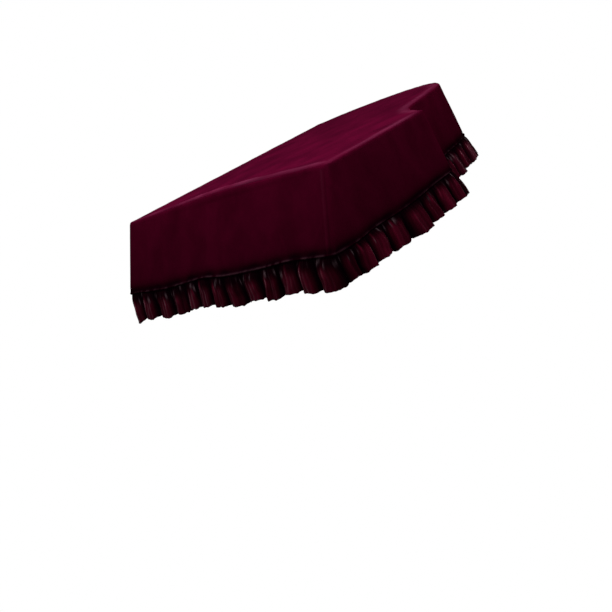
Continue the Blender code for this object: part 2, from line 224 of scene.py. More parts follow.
def cut_pile_velvet(name, shade, nap, sheen, sheen_weight, streak, valley_shade, highlight_colour):
    """Woven cotton velvet with a short cut pile. The pile swallows light seen end on and shines softly seen
    from the side, and brushing leaves broad lighter and darker patches. Light and shade are also painted in
    from the UV. Its V coordinate fades the colour towards the painted shade colour and scales the sheen, so
    the tops of gathers get painted highlights and the folds between them painted shade. Its U coordinate
    mixes in a pale painted highlight colour."""
    material = bpy.data.materials.new(name)
    material.use_nodes = True
    material.node_tree.nodes.clear()
    place = add_node(material, "ShaderNodeTexCoord")
    streaks = add_node(material, "ShaderNodeMapping", {"Scale": streak}, {"Vector": place.outputs["Object"]})
    # Brushed patches are 60 to 150 mm across. Tufts stand about 1 mm apart, and are drawn at 2 mm to show.
    patches = add_node(
        material,
        "ShaderNodeTexNoise",
        {"Scale": 1 / PATCH_SIZE, "Detail": 4.0, "Roughness": 0.55, "Distortion": 0.4},
        {"Vector": streaks.outputs["Vector"]},
    )
    tufts = add_node(
        material,
        "ShaderNodeTexNoise",
        {"Scale": 1 / TUFT_PITCH, "Detail": 3.0, "Roughness": 0.6},
        {"Vector": place.outputs["Object"]},
    )
    spread = add_node(
        material,
        "ShaderNodeMapRange",
        {"From Min": PATCH_LOW, "From Max": PATCH_HIGH},
        {"Value": patches.outputs["Fac"]},
    )
    speckle = add_node(
        material,
        "ShaderNodeMapRange",
        {"From Min": 0.3, "From Max": 0.7, "To Min": -TUFT_SPECKLE, "To Max": TUFT_SPECKLE},
        {"Value": tufts.outputs["Fac"]},
    )
    both = add_node(
        material,
        "ShaderNodeMath",
        {"operation": "ADD", "use_clamp": True},
        {0: spread.outputs["Result"], 1: speckle.outputs["Result"]},
    )
    colour = add_node(
        material,
        "ShaderNodeMix",
        {"data_type": "RGBA", 6: srgb(shade), 7: srgb(nap)},
        {0: both.outputs[0]},
    )
    pile = add_node(
        material,
        "ShaderNodeBump",
        {"Strength": 0.35, "Distance": PILE_RELIEF},
        {"Height": tufts.outputs["Fac"]},
    )
    brushed = add_node(
        material,
        "ShaderNodeMapRange",
        {
            "From Min": PATCH_LOW,
            "From Max": PATCH_HIGH,
            "To Min": 0.8 * sheen_weight,
            "To Max": 1.15 * sheen_weight,
        },
        {"Value": patches.outputs["Fac"]},
    )
    # Painted light and shade from the UV: V mixes the colour towards the painted shade colour and, squared,
    # scales the sheen into painted highlights; U mixes in the pale painted highlight colour.
    drawn = add_node(material, "ShaderNodeSeparateXYZ", None, {0: place.outputs["UV"]})
    gathered = add_node(
        material,
        "ShaderNodeMix",
        {"data_type": "RGBA", 6: srgb(valley_shade)},
        {0: drawn.outputs["Y"], 7: colour.outputs[2]},
    )
    painted_highlights = add_node(
        material,
        "ShaderNodeMix",
        {"data_type": "RGBA", 7: srgb(highlight_colour)},
        {0: drawn.outputs["X"], 6: gathered.outputs[2]},
    )
    crest = add_node(
        material, "ShaderNodeMath", {"operation": "POWER", 1: 2.0}, {0: drawn.outputs["Y"]}
    )
    shine = add_node(
        material,
        "ShaderNodeMath",
        {"operation": "MULTIPLY"},
        {0: brushed.outputs["Result"], 1: crest.outputs[0]},
    )
    # Cotton pile has no gloss of its own, so all of its shine is sheen.
    shader = add_node(
        material,
        "ShaderNodeBsdfPrincipled",
        {
            "Roughness": 0.9,
            "Specular IOR Level": 0.0,
            "Sheen Roughness": 0.35,
            "Sheen Tint": srgb(sheen),
        },
        {"Base Color": painted_highlights.outputs[2], "Normal": pile.outputs["Normal"], "Sheen Weight": shine.outputs[0]},
    )
    add_node(material, "ShaderNodeOutputMaterial", None, {"Surface": shader.outputs[0]})
    return material


# The top is brushed in broad patches, and shines pinkest in the light from above. Its pale colour is a
# painted highlight along the rolled edge, and its painted shade colour goes unused, as the top has no
# painted shade.
PANEL_VELVET = cut_pile_velvet(
    "panel cut-pile velvet",
    shade="#300112",
    nap="#42021a",
    sheen="#b02c60",
    sheen_weight=0.36,
    streak=(0.55, 0.55, 1.0),
    valley_shade="#0c0004",
    highlight_colour="#6e2c48",
)
# The skirts hang in the light from the side, with little shine and patches drawn out downwards. Their dark
# colour is painted shade, darkening them towards the hem and in a painted shadow just above it, and their
# pale colour a painted highlight along the hem and seams.
SKIRT_VELVET = cut_pile_velvet(
    "skirt cut-pile velvet",
    shade="#320112",
    nap="#3c0217",
    sheen="#8c0a32",
    sheen_weight=0.24,
    streak=(1.0, 1.0, 0.6),
    valley_shade="#0c0004",
    highlight_colour="#4c323a",
)
# The ruffle is painted pale along the tops of its lobes and nearly black between them: painted highlights in
# the sheen and the pale colour, and painted shade in the dark colour.
RUFFLE_VELVET = cut_pile_velvet(
    "ruffle cut-pile velvet",
    shade="#400417",
    nap="#5e0822",
    sheen="#c8a0ac",
    sheen_weight=1.0,
    streak=(1.0, 1.0, 0.5),
    valley_shade="#0b0105",
    highlight_colour="#6a565c",
)
THREAD_PITCH, THREAD_RELIEF = 0.0018, 0.0004


def woven_back(name, shade, thread):
    """The flat woven back of the velvet, dull and a little lighter. Its threads are about 0.6 mm apart, and
    are drawn three times as coarse to show."""
    material = bpy.data.materials.new(name)
    material.use_nodes = True
    material.node_tree.nodes.clear()
    place = add_node(material, "ShaderNodeTexCoord")
    threads = add_node(
        material,
        "ShaderNodeTexNoise",
        {"Scale": 1 / THREAD_PITCH, "Detail": 2.0, "Roughness": 0.5},
        {"Vector": place.outputs["Object"]},
    )
    colour = add_node(
        material,
        "ShaderNodeMix",
        {"data_type": "RGBA", 6: srgb(shade), 7: srgb(thread)},
        {0: threads.outputs["Fac"]},
    )
    weave = add_node(
        material,
        "ShaderNodeBump",
        {"Strength": 0.3, "Distance": THREAD_RELIEF},
        {"Height": threads.outputs["Fac"]},
    )
    shader = add_node(
        material,
        "ShaderNodeBsdfPrincipled",
        {"Roughness": 0.9, "Specular IOR Level": 0.15, "Sheen Weight": 0.15},
        {"Base Color": colour.outputs[2], "Normal": weave.outputs["Normal"]},
    )
    add_node(material, "ShaderNodeOutputMaterial", None, {"Surface": shader.outputs[0]})
    return material


VELVET_BACK = woven_back("velvet back, plain weave", shade="#2a0a14", thread="#4a1a28")
MERGE_DISTANCE = 1e-6


def cloth_grid(name, points, closed, face, thickness, highlight, crest):
    """A cloth sheet from a grid of points, columns by rows, with its woven back behind it. Its U coordinate
    holds painted highlights, 0 where there are none. Its V coordinate holds painted light and shade: 0 in
    full painted shade, 1 at full colour, and above 1 only where painted highlights raise the sheen."""
    bpy.ops.object.select_all(action="DESELECT")
    columns, rows = points.shape[:2]
    bpy.ops.mesh.primitive_grid_add(x_subdivisions=rows - 1, y_subdivisions=columns - 1, size=1.0)
    sheet = bpy.context.object
    sheet.name = name
    sheet.data.name = name
    sheet.data.vertices.foreach_set("co", np.ascontiguousarray(points, np.float32).ravel())
    sheet.data.update()
    corner_vertex = np.empty(len(sheet.data.loops), dtype=np.int32)
    sheet.data.loops.foreach_get("vertex_index", corner_vertex)
    pair = np.stack([highlight.ravel()[corner_vertex], crest.ravel()[corner_vertex]], axis=1)
    sheet.data.uv_layers.active.data.foreach_set("uv", pair.astype(np.float32).ravel())
    sheet.data.materials.append(face)
    sheet.data.materials.append(VELVET_BACK)
    if closed:
        bpy.ops.object.mode_set(mode="EDIT")
        bpy.ops.mesh.select_all(action="SELECT")
        bpy.ops.mesh.remove_doubles(threshold=MERGE_DISTANCE)
        bpy.ops.object.mode_set(mode="OBJECT")
    wall = sheet.modifiers.new("cloth thickness", "SOLIDIFY")
    wall.thickness = thickness
    wall.offset = -1.0
    wall.material_offset = 1
    bpy.ops.object.modifier_apply(modifier=wall.name)
    bpy.ops.object.shade_smooth()
    return sheet


PANELS = (
    # name, first row, last row, ruffle drop, seed
    ("front", "bass_front", "treble_front", 0.124, 11),
    ("cheek", "treble_front", "cheek_end", 0.116, 23),
    ("bentside", "cheek_end", "tail_treble", 0.117, 31),
    ("tail", "tail_treble", "bass_tail", 0.119, 47),
    ("bass", "bass_tail", "bass_front", 0.122, 53),
)
COLUMN_PITCH = 0.008
CORNER_COLUMNS = (0.0015, 0.003, 0.006, 0.009, 0.013, 0.018)
SEAM_STEP = 0.5
EDGE_ROWS = 9
TOP_RINGS, RING_SPREAD, MIDDLE_RING = 44, 0.85, 1e-4
TOP_LIFT, TOP_LIFT_SIZE = 0.0012, 0.16
FINE_TOP_LIFT, FINE_TOP_LIFT_SIZE = 0.0006, 0.05
TOP_LIFT_FROM_EDGE = 0.020
# A pale painted highlight along the top's rolled edge, broken into patches by noise.
EDGE_HIGHLIGHT, EDGE_HIGHLIGHT_AT, EDGE_HIGHLIGHT_HALF_WIDTH = 0.46, 0.028, 0.026
EDGE_HIGHLIGHT_LEVEL, EDGE_HIGHLIGHT_CONTRAST, EDGE_HIGHLIGHT_SIZE = 0.62, 0.8, 0.100


def panel_shares(length):
    """Even places along a panel, with more of them close to its two corners."""
    even = np.linspace(0.0, 1.0, round(length / COLUMN_PITCH) + 1)
    close = np.array(CORNER_COLUMNS) / length
    return np.unique(np.concatenate([even, close, 1.0 - close]).round(7))


def broken_up(wear, contrast, values):
    """The strength of a painted highlight, from 0 to 1, that noise breaks into patches."""
    return np.clip(wear + contrast * values, 0.0, 1.0)


def top_rows():
    """The lid's edge, the hem under it and the outward direction, all the way round."""
    lid, hem, out, from_corner = [], [], [], []
    for _, first, last, *_ in PANELS:
        length = run_length(LID, first, last)
        shares = panel_shares(length)[:-1]
        from_corner.append(np.minimum(shares, 1.0 - shares) * length)
        lid.append(run(LID, LID, first, last, shares))
        hem.append(run(HEM, HEM, first, last, shares))
        out.append(run(LID, LID_OUT, first, last, shares))
    lid, hem, out, from_corner = (np.concatenate(parts) for parts in (lid, hem, out, from_corner))
    return lid, hem, out / np.linalg.norm(out, axis=1)[:, None], from_corner


lid_edge, hem_below, lid_out, from_corner = top_rows()
edge_rows = [
    rolled_edge(lid_edge, hem_below, lid_out, from_corner, step)
    for step in np.linspace(SEAM_STEP, 0.0, EDGE_ROWS)
]
flat_edge = edge_rows[-1][:, :2]
for ring in np.linspace(1.0, 0.0, TOP_RINGS)[1:]:
    plan = flat_edge * max(ring, MIDDLE_RING) ** RING_SPREAD
    edge_rows.append(raised(plan, CLOTH + swell(plan)))
top_points = np.stack(edge_rows, axis=1)
top_points = np.concatenate([top_points, top_points[:1]])
to_edge = np.linalg.norm(top_points[:, :, :2] - top_points[:, :1, :2], axis=2)
lift = TOP_LIFT * crumple(top_points, TOP_LIFT_SIZE, seed=1)
lift += FINE_TOP_LIFT * crumple(top_points, FINE_TOP_LIFT_SIZE, seed=2)
top_points[..., 2] += np.abs(lift) * np.clip(to_edge / TOP_LIFT_FROM_EDGE, 0.0, 1.0)
top_points[:, -1] = top_points[0, -1]
# The top's painted light is only a pale painted highlight near the rolled edge. Its V coordinate stays 1, so
# it has no painted shade.
painted_highlights = broken_up(EDGE_HIGHLIGHT_LEVEL, EDGE_HIGHLIGHT_CONTRAST, crumple(top_points, EDGE_HIGHLIGHT_SIZE, seed=8))
top_highlight = EDGE_HIGHLIGHT * painted_highlights * bump(to_edge - EDGE_HIGHLIGHT_AT, EDGE_HIGHLIGHT_HALF_WIDTH)
top_painted_light = np.ones(top_highlight.shape)
top_sheet = cloth_grid(
    "top_velvet", top_points[:, ::-1], True, PANEL_VELVET, CLOTH, top_highlight[:, ::-1], top_painted_light
)
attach(top_sheet, "root")
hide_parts("top_panel")


# The five skirt panels: straight lengths of the same velvet that hang from the edge of the top panel.
# The keyboard-side one slopes out over the keys. Each is sewn to the top along the lid's edge and to its
# neighbours at the corners, where seams stand up in a low ridge. Light and shade are partly painted: each
# panel is painted darker towards the hem, with a painted shadow just above it, and painted highlights lie
# along its rolled hem and seam ridges.
SKIRT_ROWS = 38
SKIRT_SEAM_STEPS = (0.5, 0.6, 0.7, 0.8, 0.9)
HEM_ROWS_FROM = 0.040
HEM_ROWS = (
    # heights above the hem of the close rows along its rolled edge
    *(0.034, 0.029, 0.025, 0.021, 0.017, 0.013, 0.0105),
    *(0.0085, 0.007, 0.0055, 0.004, 0.0025, 0.001, 0.0),
)
FRONT_SAG = 0.010
CALM_END, SMOOTH_END = 0.030, 0.010
BROAD_CRUMPLE, BROAD_CRUMPLE_SIZE = 0.0022, 0.17
FINE_CRUMPLE, FINE_CRUMPLE_SIZE = 0.0009, 0.055
PUCKER, PUCKER_PITCH, PUCKER_FADE = 0.0011, 0.016, 0.020
HEM_PUCKER, HEM_PUCKER_PITCH, HEM_PUCKER_FADE = 0.00143, 0.013, 0.022
SEAM_RIDGE, SEAM_RIDGE_AT, SEAM_RIDGE_HALF_WIDTH = 0.0030, 0.010, 0.005
SEAM_TROUGH, SEAM_TROUGH_AT = 0.0015, 0.012
NO_RIDGE = -0.100
SEAM_RIDGES = {
    # how far from its first and last corner a panel's ridges stand, where NO_RIDGE is off the panel
    "front": (SEAM_RIDGE_AT, 0.038),
    "cheek": (NO_RIDGE, NO_RIDGE),
    "bentside": (NO_RIDGE, SEAM_RIDGE_AT),
}
RIDGE_TOP_FADE, RIDGE_HEM_FADE = 0.125, 0.030
HEM_BEAD, HEM_BEAD_AT, HEM_BEAD_HALF_WIDTH = 0.0036, 0.006, 0.0036
BEAD_UNEVEN, BEAD_UNEVEN_PITCH = 0.4, 0.021
HEM_GROOVE, HEM_GROOVE_AT, HEM_GROOVE_HALF_WIDTH = 0.0016, 0.018, 0.007
HEM_TUCK, HEM_TUCK_HALF_WIDTH = 0.0022, 0.0022
# Painted light on the skirts: painted highlights on the hem bead and the seam ridges, painted shade in the
# trough beside a ridge, and painted shade that darkens each panel towards the hem. A patchy painted shadow
# lies just above the hem, and pale painted highlights run along the bead and ridges, broken into patches.
HEM_SHINE, HEM_SHINE_FROM = 0.5, 0.6
SEAM_SHINE, SEAM_SHINE_FADE = 0.5, 0.060
SKIRT_FALL = 0.34
HEM_SHADE, HEM_SHADE_HALF_WIDTH = 0.80, 0.034
SHADE_UNEVEN, SHADE_UNEVEN_PITCH = 0.35, 0.060
HEM_HIGHLIGHT, SEAM_HIGHLIGHT = 0.30, 0.11
HEM_HIGHLIGHT_LEVEL, HEM_HIGHLIGHT_CONTRAST, HEM_HIGHLIGHT_SIZE = 0.45, 1.3, 0.022
SEAM_ALLOWANCE = 0.007
SKIRT_TURNINGS = 0.03
SHARED_END = 0.05
LINE_STRIDE = 3.7
SKIRT_FOLDS = (
    # panel, place along it, half width, out at the hem
    ("front", 0.12, 0.060, 0.010),
    ("front", 0.30, 0.110, -0.009),
    ("front", 0.55, 0.130, 0.008),
    ("front", 0.80, 0.090, -0.007),
    ("cheek", 0.14, 0.055, 0.012),
    ("cheek", 0.32, 0.070, -0.010),
    ("cheek", 0.62, 0.080, 0.009),
    ("bentside", 0.30, 0.100, 0.010),
    ("bentside", 0.65, 0.090, -0.008),
    ("tail", 0.25, 0.110, 0.009),
    ("tail", 0.60, 0.120, -0.008),
    ("bass", 0.20, 0.140, 0.009),
    ("bass", 0.50, 0.130, -0.010),
    ("bass", 0.78, 0.120, 0.009),
)
HEM_LIFTS = (
    # panel, place along it, half width, lift
    ("front", 0.00, 0.090, -0.006),
    ("front", 0.22, 0.150, -0.010),
    ("front", 0.44, 0.110, 0.009),
    ("front", 0.84, 0.160, 0.009),
    ("cheek", 0.30, 0.120, 0.003),
    ("cheek", 1.00, 0.240, 0.026),
    ("bentside", 0.00, 0.240, 0.026),
    ("bentside", 0.60, 0.300, 0.018),
    ("bentside", 1.00, 0.200, 0.014),
    ("tail", 0.00, 0.200, 0.014),
    ("tail", 0.55, 0.250, 0.006),
    ("bass", 0.45, 0.300, 0.006),
    ("bass", 1.00, 0.090, -0.006),
)


def summed(table, panel, shares, length):
    """The humps of a table that belong to one panel, at places along it."""
    total = np.zeros(len(shares))
    for name, place, half_width, height in table:
        if name == panel:
            total += height * bump((shares - place) * length, half_width)
    return total


def shared_ends(panel, shares, length, value_at):
    """What to add along a panel so that it meets its neighbours at the height halfway between them."""
    index = [row[0] for row in PANELS].index(panel)
    total = np.zeros(len(shares))
    for share, step in ((0.0, -1), (1.0, 1)):
        other = PANELS[(index + step) % len(PANELS)]
        gap = value_at(other, 1.0 - share) - value_at(PANELS[index], share)
        total += 0.5 * gap * bump((shares - share) * length, SHARED_END)
    return total


def lift_at(row, share):
    """The hem's own lift at one place along a row of PANELS."""
    return summed(HEM_LIFTS, row[0], np.array([share]), run_length(LID, row[1], row[2]))[0]


def hem_lift(panel, shares, length):
    """How far the hem rises along a panel, level with its neighbours at both ends."""
    own = summed(HEM_LIFTS, panel, shares, length)
    return own + shared_ends(panel, shares, length, lift_at)


def along_noise(distance, size, seed):
    """Smooth noise along a seam, between -1 and 1."""
    return np.array([noise.noise((value / size, seed * LINE_STRIDE, 0.5)) for value in distance])


def turned_in(points, first_inwards, last_inwards):
    """The grid with the seam allowance added at both ends, turned in behind the corner seams."""
    start = points[:1] + SEAM_ALLOWANCE * first_inwards
    end = points[-1:] + SEAM_ALLOWANCE * last_inwards
    return np.concatenate([start, points, end])


def repeated_ends(rows):
    """The values of a grid, given row by row, with its first and last columns repeated for the allowance."""
    values = np.stack(rows, axis=1)
    return np.concatenate([values[:1], values, values[-1:]])


def skirt_points(panel, first, last, seed):
    """The face of a skirt panel, column by column from the seam on the lid's edge down to the hem, with its
    pale painted highlights and its painted light and shade."""
    length = run_length(LID, first, last)
    shares = panel_shares(length)
    lid = run(LID, LID, first, last, shares)
    hem = run(HEM, HEM, first, last, shares)
    lid_normal = run(LID, LID_OUT, first, last, shares)
    lid_normal /= np.linalg.norm(lid_normal, axis=1)[:, None]
    hem_normal = run(HEM, HEM_OUT, first, last, shares)
    hem_normal /= np.linalg.norm(hem_normal, axis=1)[:, None]
    from_start = shares * length
    from_last = length - from_start
    from_end = np.minimum(shares, 1.0 - shares) * length
    inner = 1.0 - bump(from_end, CALM_END)
    open_end = 1.0 - bump(from_end, SMOOTH_END)

    fold = summed(SKIRT_FOLDS, panel, shares, length) * inner
    sag = FRONT_SAG * np.sin(math.pi * shares) if panel == "front" else np.zeros(len(shares))
    pucker = PUCKER * along_noise(from_start, PUCKER_PITCH, seed)
    hem_pucker = HEM_PUCKER * along_noise(from_start, HEM_PUCKER_PITCH, seed + 5)
    uneven = 1.0 + BEAD_UNEVEN * inner * along_noise(from_start, BEAD_UNEVEN_PITCH, seed + 9)
    bead = HEM_BEAD * open_end * uneven
    groove = HEM_GROOVE * open_end
    start_at, last_at = SEAM_RIDGES.get(panel, (SEAM_RIDGE_AT, SEAM_RIDGE_AT))
    ridge = SEAM_RIDGE * bump(from_start - start_at, SEAM_RIDGE_HALF_WIDTH)
    ridge += SEAM_RIDGE * bump(from_last - last_at, SEAM_RIDGE_HALF_WIDTH)
    ridge -= SEAM_TROUGH * bump(from_last - last_at + SEAM_TROUGH_AT, SEAM_RIDGE_HALF_WIDTH)
    ridge *= open_end
    # How patchy the painted shadow and highlight along the hem are, and where the hem's pale painted
    # highlight breaks off.
    patchy = 1.0 + SHADE_UNEVEN * along_noise(from_start, SHADE_UNEVEN_PITCH, seed + 17)
    painted_highlights = broken_up(HEM_HIGHLIGHT_LEVEL, HEM_HIGHLIGHT_CONTRAST, along_noise(from_start, HEM_HIGHLIGHT_SIZE, seed + 19))

    high = rolled_edge(lid, hem, lid_normal, from_end, 1.0)
    low = raised(hem, hem_lift(panel, shares, length) - SKIRT_DROP)
    rows = [rolled_edge(lid, hem, lid_normal, from_end, step) for step in SKIRT_SEAM_STEPS]
    painted_lights = [np.ones(len(shares)) for _ in rows]
    highlights = [np.zeros(len(shares)) for _ in rows]
    drop = SKIRT_DROP - EDGE_ROLL
    downs = np.linspace(0.0, 1.0 - HEM_ROWS_FROM / drop, SKIRT_ROWS)
    for down in np.concatenate([downs, 1.0 - np.array(HEM_ROWS) / drop]):
        row = high + (low - high) * down
        normal = lid_normal + (hem_normal - lid_normal) * down
        normal /= np.linalg.norm(normal, axis=1)[:, None]
        above_hem = (1.0 - down) * drop
        on_bead = bump(above_hem - HEM_BEAD_AT, HEM_BEAD_HALF_WIDTH)
        middle = math.sin(math.pi * min(max(down, 0.0), 1.0)) ** 0.6
        out = fold * down - sag * math.sin(math.pi * down)
        out = out + inner * middle * BROAD_CRUMPLE * crumple(row, BROAD_CRUMPLE_SIZE, seed)
        out = out + inner * middle * FINE_CRUMPLE * crumple(row, FINE_CRUMPLE_SIZE, seed + 1)
        out = out + inner * pucker * math.exp(-down * drop / PUCKER_FADE)
        out = out + inner * hem_pucker * math.exp(-above_hem / HEM_PUCKER_FADE)
        out = out + ridge * min(1.0, down / RIDGE_TOP_FADE) * min(1.0, above_hem / RIDGE_HEM_FADE)
        out = out + bead * on_bead - groove * bump(above_hem - HEM_GROOVE_AT, HEM_GROOVE_HALF_WIDTH)
        out = out - HEM_TUCK * bump(above_hem, HEM_TUCK_HALF_WIDTH)
        rows.append(row + raised(normal * out[:, None], np.zeros(len(out))))
        # Painted light: highlights on the bead and ridges, shade darkening towards the hem and a shadow just
        # above it, all painted into the colour and sheen.
        lit = HEM_SHINE * (patchy - HEM_SHINE_FROM) * on_bead
        lit += SEAM_SHINE * ridge / SEAM_RIDGE * min(1.0, above_hem / SEAM_SHINE_FADE)
        shade = SKIRT_FALL * down + HEM_SHADE * patchy * bump(above_hem, HEM_SHADE_HALF_WIDTH)
        painted_lights.append((1.0 - shade + lit).clip(0.0, 1.0))
        highlights.append(HEM_HIGHLIGHT * painted_highlights * on_bead + SEAM_HIGHLIGHT * ridge.clip(0.0) / SEAM_RIDGE * (1.0 - down))
    points = np.stack(rows, axis=1)
    inwards = -raised(lid_normal + hem_normal, np.zeros(len(hem_normal))) / 2
    points = turned_in(points, inwards[:1, None], inwards[-1:, None])
    return points, repeated_ends(highlights), repeated_ends(painted_lights)


for panel, first, last, _, seed in PANELS:
    points, highlights, painted_lights = skirt_points(panel, first, last, seed)
    skirt = cloth_grid(f"{panel}_velvet", points, False, SKIRT_VELVET, CLOTH, highlights, painted_lights)
    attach(skirt, "root")
    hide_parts(f"{panel}_skirt")
    flat = (run_length(HEM, first, last) + SKIRT_TURNINGS, SKIRT_DROP + SKIRT_TURNINGS)


# The ruffles: one strip of velvet for each skirt, cut longer than the hem and gathered by a thread. The
# gathered edge is sewn up behind the rolled hem, so it starts in its shadow, and the small gathers run
# together into broad lobes with a cleft in each and deep narrow valleys between them. Their light and shade
# are also painted. Painted shade darkens the heading below the hem and the valleys between the lobes.
# Painted highlights lie along the lobes, in streaks and in short pale dashes under the hem.
PLEAT_PITCH, PLEAT_UNEVEN = 0.120, (0.80, 1.20)
PLEAT_WIDTHS = {
    "front": (0.115, 0.120, 0.130, 0.135, 0.102, 0.112, 0.114, 0.128, 0.121, 0.113, 0.128, 0.111, 0.133),
    "cheek": (0.070, 0.092, 0.114, 0.111, 0.130, 0.093, 0.093, 0.075),
}
RUFFLE_CLOTH = 0.0014
STEPS_PER_PLEAT = 56
RUFFLE_ROWS = 30
ALLOWANCE = 0.008
HEADING_TUCK, HEADING_TUCK_SHARE = 0.010, 0.35
LOBE_DEPTHS, FULL_DEPTH_WIDTH = (0.024, 0.036), 0.110
LOBE_ROUNDNESS, LOBE_STAND, LOBE_START = 0.85, 1.28, 0.12
LOBE_LONGER, LOBE_LEANS = (-0.008, 0.010), (-0.010, 0.010)
CLEFT_DEPTHS, CLEFT_PLACES, CLEFT_HALF_WIDTH = (0.05, 0.40), (0.42, 0.58), 0.13
VALLEY_DEPTH = 0.007
GATHER_SIZE, GATHER_DEPTHS, GATHER_TILTS = 0.016, (0.0026, 0.0044), (-0.8, 0.8)
OPENS_AT, END_OPENS_AT = (0.28, 0.58), 0.4
OVERHANG, OVERHANG_UNEVEN, OVERHANG_START = 0.110, (0.5, 1.2), 0.35
CURL, CURL_TURNS = 0.008, 0.75
WANDER, WANDER_OUT_SIZE, WANDER_ALONG_SIZE = 0.0062, 0.040, 0.050
RAGGED, RAGGED_PITCH = 0.006, 0.030
FINE_RAGGED, FINE_RAGGED_PITCH = 0.0035, 0.011
LEVEL_END = 0.02
RUFFLE_CORNERS = (
    # name, drawn in, lower
    ("bass_front", -0.002, 0.024),
    ("treble_front", 0.016, 0.000),
    ("cheek_end", -0.014, 0.004),
    ("tail_treble", 0.000, -0.004),
    ("bass_tail", 0.008, 0.006),
)
CORNER_HALF_WIDTH = 0.070
# Painted light on the ruffles: painted highlights on the lobes and gathers, narrowing downwards, painted
# shade in the valleys and clefts, painted shade over the heading under the hem, painted highlight streaks,
# and short pale painted highlight dashes under the hem.
CREST_SHINE, CREST_FOLDS = 0.80, 0.28
VALLEY_SHARPNESS, FRONT_SHARPNESS, VALLEY_NARROWS, CLEFT_SHARPNESS = 1.7, 2.6, 2.6, 2.5
HEADING_SHADE, FRONT_HEADING_SHADE, HEADING_FADE, HEADING_SHINE = 0.06, 0.16, 0.34, 0.06
STREAK_SIDES, STREAK_HALF_WIDTH = (-0.17, -0.13, 0.13), 0.045
STREAK_STRENGTHS, STREAK_HEIGHTS = (0.30, 1.0), (0.08, 0.34)
STREAK_SHINE, STREAK_HALF_HEIGHT = 0.85, 0.15
DASH_HIGHLIGHT, DASH_HIGHLIGHT_LEVEL, DASH_CONTRAST, DASH_PITCH = 0.42, -0.5, 2.6, 0.0110
DASH_DOWN, DASH_UNEVEN, DASH_UNEVEN_PITCH, DASH_HALF_HEIGHT = 0.20, 0.26, 0.034, 0.09


def pleat_columns(panel, length, seed):
    """Every column along a ruffle: its place, how far its lobe and its gathers stand out, how it hangs and
    sways below them, and its painted light: the painted highlight on its lobe and streak, and how far down
    the streak lies."""
    chance = random.Random(seed)
    finer = random.Random(seed + 100)
    sharpness = FRONT_SHARPNESS if panel == "front" else VALLEY_SHARPNESS
    widths = PLEAT_WIDTHS.get(panel)
    if widths is None:
        widths = [PLEAT_PITCH * chance.uniform(*PLEAT_UNEVEN) for _ in range(round(length / PLEAT_PITCH))]
    ends = np.concatenate([[0.0], np.cumsum(widths) / np.sum(widths)])
    phase = np.arange(STEPS_PER_PLEAT) / STEPS_PER_PLEAT
    pleats = []
    for start, end, width in zip(ends, ends[1:], widths):
        depth = chance.uniform(*LOBE_DEPTHS) * min(1.0, width / FULL_DEPTH_WIDTH)
        cleft = chance.uniform(*CLEFT_DEPTHS)
        cleft_at = chance.uniform(*CLEFT_PLACES)
        longer = chance.uniform(*LOBE_LONGER)
        lean = chance.uniform(*LOBE_LEANS)
        gathers = max(2, round(width / GATHER_SIZE)) + finer.choice((-1, 0, 1))
        tilt = finer.uniform(*GATHER_TILTS)
        opens = finer.uniform(*OPENS_AT)
        streak_at = cleft_at + finer.choice(STREAK_SIDES)
        streak = finer.uniform(*STREAK_STRENGTHS)
        streak_down = finer.uniform(*STREAK_HEIGHTS)
        overhang = OVERHANG * width * finer.uniform(*OVERHANG_UNEVEN)
        gather_depth = finer.uniform(*GATHER_DEPTHS)
        curl = finer.uniform(-CURL, CURL)
        wave = np.sin(math.pi * phase) ** LOBE_ROUNDNESS
        split = 1.0 - cleft * bump(phase - cleft_at, CLEFT_HALF_WIDTH)
        across = np.sin(2 * math.pi * phase)
        folds = 0.5 - 0.5 * np.cos(2 * math.pi * (gathers * phase + tilt * across / 4))
        # Painted light: the gathers' folds and the tops of the lobes are painted lighter, narrowing towards
        # the lobes' middles, and the clefts and the valleys between lobes are painted dark; the streaks are
        # painted highlights.
        lit_folds = 1.0 - CREST_FOLDS + CREST_FOLDS * folds
        pleats.append(
            {
                "place": start + (end - start) * phase,
                "wave": wave,
                "lobe": LOBE_STAND * depth * wave * split - VALLEY_DEPTH * (1.0 - wave),
                "opens": np.full(len(phase), opens),
                "crest": CREST_SHINE * wave**sharpness * split**CLEFT_SHARPNESS * lit_folds,
                "streak": streak * bump(phase - streak_at, STREAK_HALF_WIDTH),
                "streak_down": np.full(len(phase), streak_down),
                "overhang": -overhang * across,
                "gathers": folds * gather_depth,
                "longer": longer * wave,
                "sway": lean * wave,
                "curl": curl * wave,
            }
        )
    last = {"place": 1.0, "opens": END_OPENS_AT}
    return {
        key: np.append(np.concatenate([pleat[key] for pleat in pleats]), last.get(key, 0.0))
        for key in pleats[0]
    }


def eased(share):
    """A smooth start and stop between 0 and 1."""
    return share * share * (3 - 2 * share)


